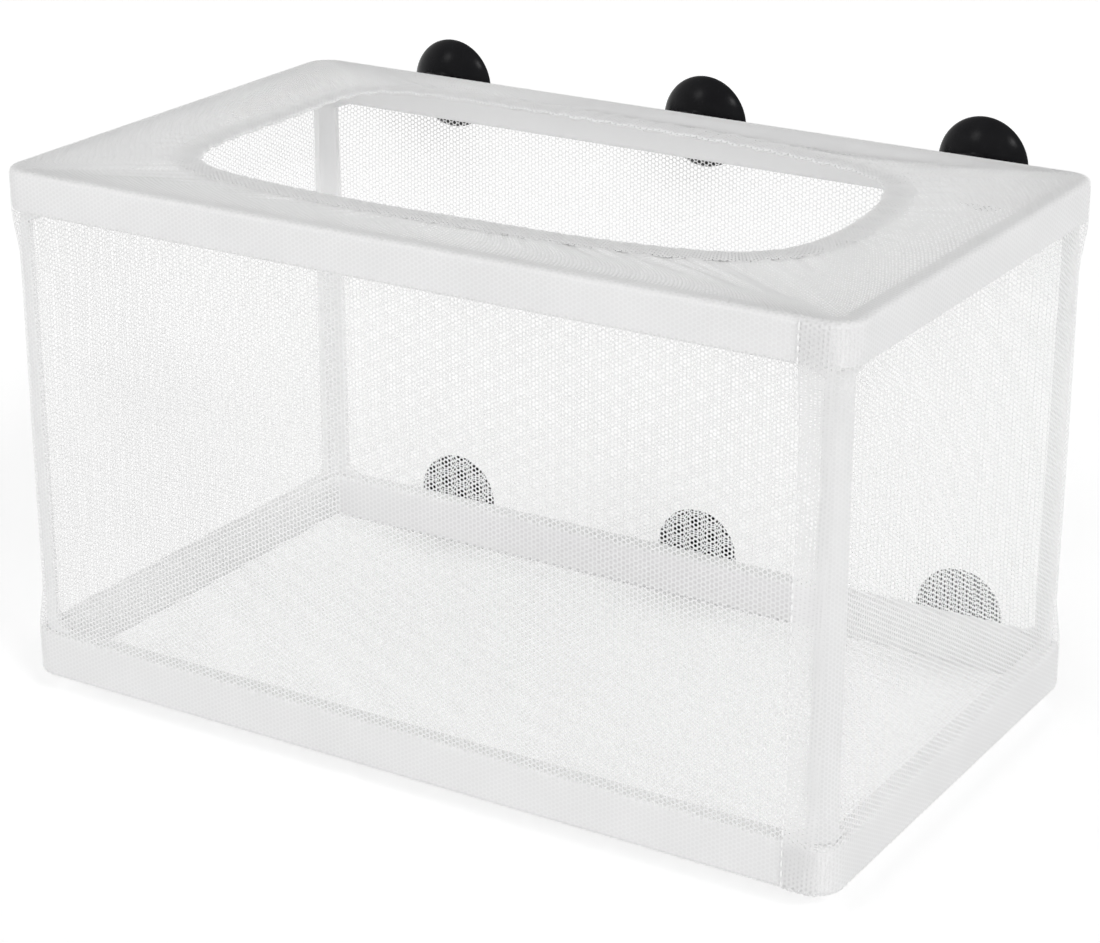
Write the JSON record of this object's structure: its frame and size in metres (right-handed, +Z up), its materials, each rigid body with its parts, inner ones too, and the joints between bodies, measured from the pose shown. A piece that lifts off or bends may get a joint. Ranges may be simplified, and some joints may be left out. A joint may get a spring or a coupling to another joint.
{
  "type": "fish breeding box",
  "caption": "Rectangular net-walled holding box for fry on a plug-together plastic frame, with an elastic top opening and suction cups along the back.",
  "frame": {"origin": "bottom centre of the whole outline, suction cups included", "axes": "+X to the right along the width, +Y out of the back towards the tank's glass, +Z up"},
  "size_m": [0.265, 0.1694, 0.1688],
  "materials": {
    "frame_plastic": "satin white moulded plastic",
    "net_cloth": "fine white hexagonal knitted net",
    "hem_cloth": "folded and stitched net",
    "elastic": "woven white elastic",
    "cup_rubber": "satin black"
  },
  "bodies": {
    "box": {"top_rail_front": "frame_plastic", "top_rail_back": "frame_plastic", "top_rail_left": "frame_plastic", "top_rail_right": "frame_plastic", "bottom_rail_front": "frame_plastic", "bottom_rail_back": "frame_plastic", "bottom_rail_left": "frame_plastic", "bottom_rail_right": "frame_plastic", "post_front_left": "frame_plastic", "post_front_right": "frame_plastic", "post_back_left": "frame_plastic", "post_back_right": "frame_plastic", "top_joint_front_left": "frame_plastic", "top_joint_front_right": "frame_plastic", "top_joint_back_left": "frame_plastic", "top_joint_back_right": "frame_plastic", "bottom_joint_front_left": "frame_plastic", "bottom_joint_front_right": "frame_plastic", "bottom_joint_back_left": "frame_plastic", "bottom_joint_back_right": "frame_plastic", "net_front": "net_cloth", "net_back": "net_cloth", "net_left": "net_cloth", "net_right": "net_cloth", "net_floor": "net_cloth", "net_top": "net_cloth", "opening_hem": "hem_cloth", "elastic_band": "elastic"},
    "suction_cup_top_left": {"suction_cup_top_left": "cup_rubber"},
    "suction_cup_top_middle": {"suction_cup_top_middle": "cup_rubber"},
    "suction_cup_top_right": {"suction_cup_top_right": "cup_rubber"},
    "suction_cup_bottom_left": {"suction_cup_bottom_left": "cup_rubber"},
    "suction_cup_bottom_middle": {"suction_cup_bottom_middle": "cup_rubber"},
    "suction_cup_bottom_right": {"suction_cup_bottom_right": "cup_rubber"}
  },
  "joints": [
    {"name": "suction_cup_top_left_spin", "type": "hinge", "parent": "box", "child": "suction_cup_top_left", "pos_m": [-0.091, 0.0697, 0.1548], "axis": [0, 1, 0], "continuous": true},
    {"name": "suction_cup_top_middle_spin", "type": "hinge", "parent": "box", "child": "suction_cup_top_middle", "pos_m": [0, 0.0697, 0.1548], "axis": [0, 1, 0], "continuous": true},
    {"name": "suction_cup_top_right_spin", "type": "hinge", "parent": "box", "child": "suction_cup_top_right", "pos_m": [0.091, 0.0697, 0.1548], "axis": [0, 1, 0], "continuous": true},
    {"name": "suction_cup_bottom_left_spin", "type": "hinge", "parent": "box", "child": "suction_cup_bottom_left", "pos_m": [-0.091, 0.0697, 0.014], "axis": [0, 1, 0], "continuous": true},
    {"name": "suction_cup_bottom_middle_spin", "type": "hinge", "parent": "box", "child": "suction_cup_bottom_middle", "pos_m": [0, 0.0697, 0.014], "axis": [0, 1, 0], "continuous": true},
    {"name": "suction_cup_bottom_right_spin", "type": "hinge", "parent": "box", "child": "suction_cup_bottom_right", "pos_m": [0.091, 0.0697, 0.014], "axis": [0, 1, 0], "continuous": true}
  ]
}
